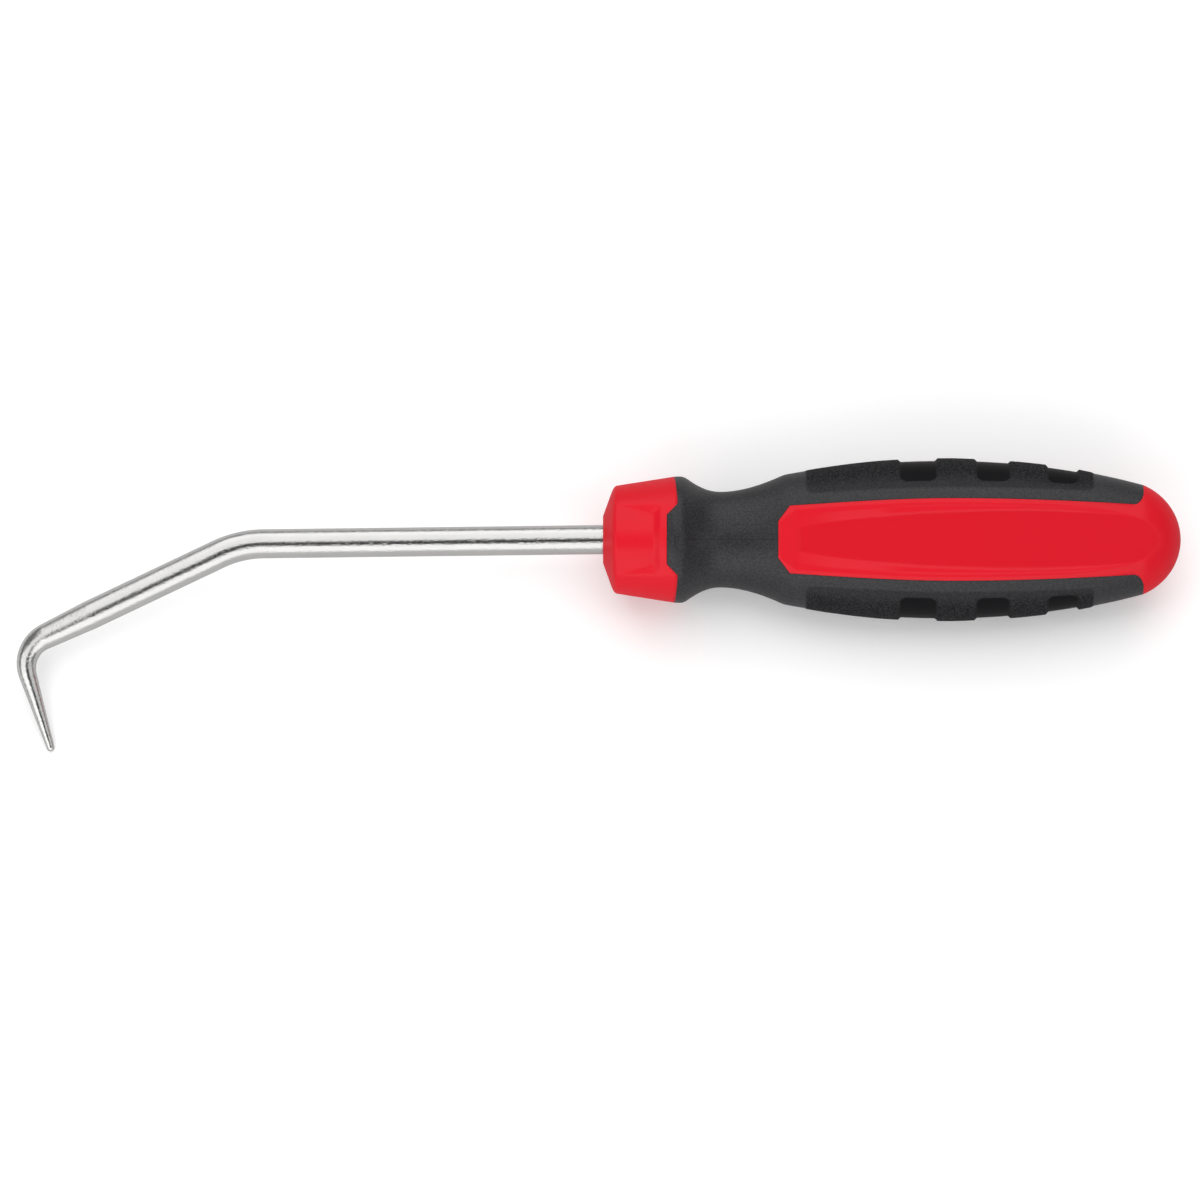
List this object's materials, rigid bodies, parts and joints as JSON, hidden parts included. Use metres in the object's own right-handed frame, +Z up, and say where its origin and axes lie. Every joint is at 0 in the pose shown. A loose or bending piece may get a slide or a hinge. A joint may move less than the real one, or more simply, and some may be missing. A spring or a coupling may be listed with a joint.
{
  "type": "hose pick",
  "caption": "Bent steel hook with a tapered, rounded point in a two-material handle, for freeing a stuck hose from its fitting.",
  "frame": {"origin": "on the bench, under the middle of the tool's bounding box, with the tool lying as it comes to rest", "axes": "+X along the handle towards its butt, +Z up from the bench, the hook reaching towards -Y and down to the bench"},
  "size_m": [0.2532, 0.0614, 0.0275],
  "materials": {
    "plated_steel": "satin nickel-chrome plate with fine polishing marks along the rod",
    "red_plastic": "satin moulded plastic, finely grained in the panels' fields",
    "black_rubber": "matt soft moulding, stippled pads with smooth windows"
  },
  "bodies": {
    "root": {"hook_shaft": "plated_steel", "handle_core": "red_plastic", "grip_overmould": "black_rubber"}
  },
  "joints": []
}
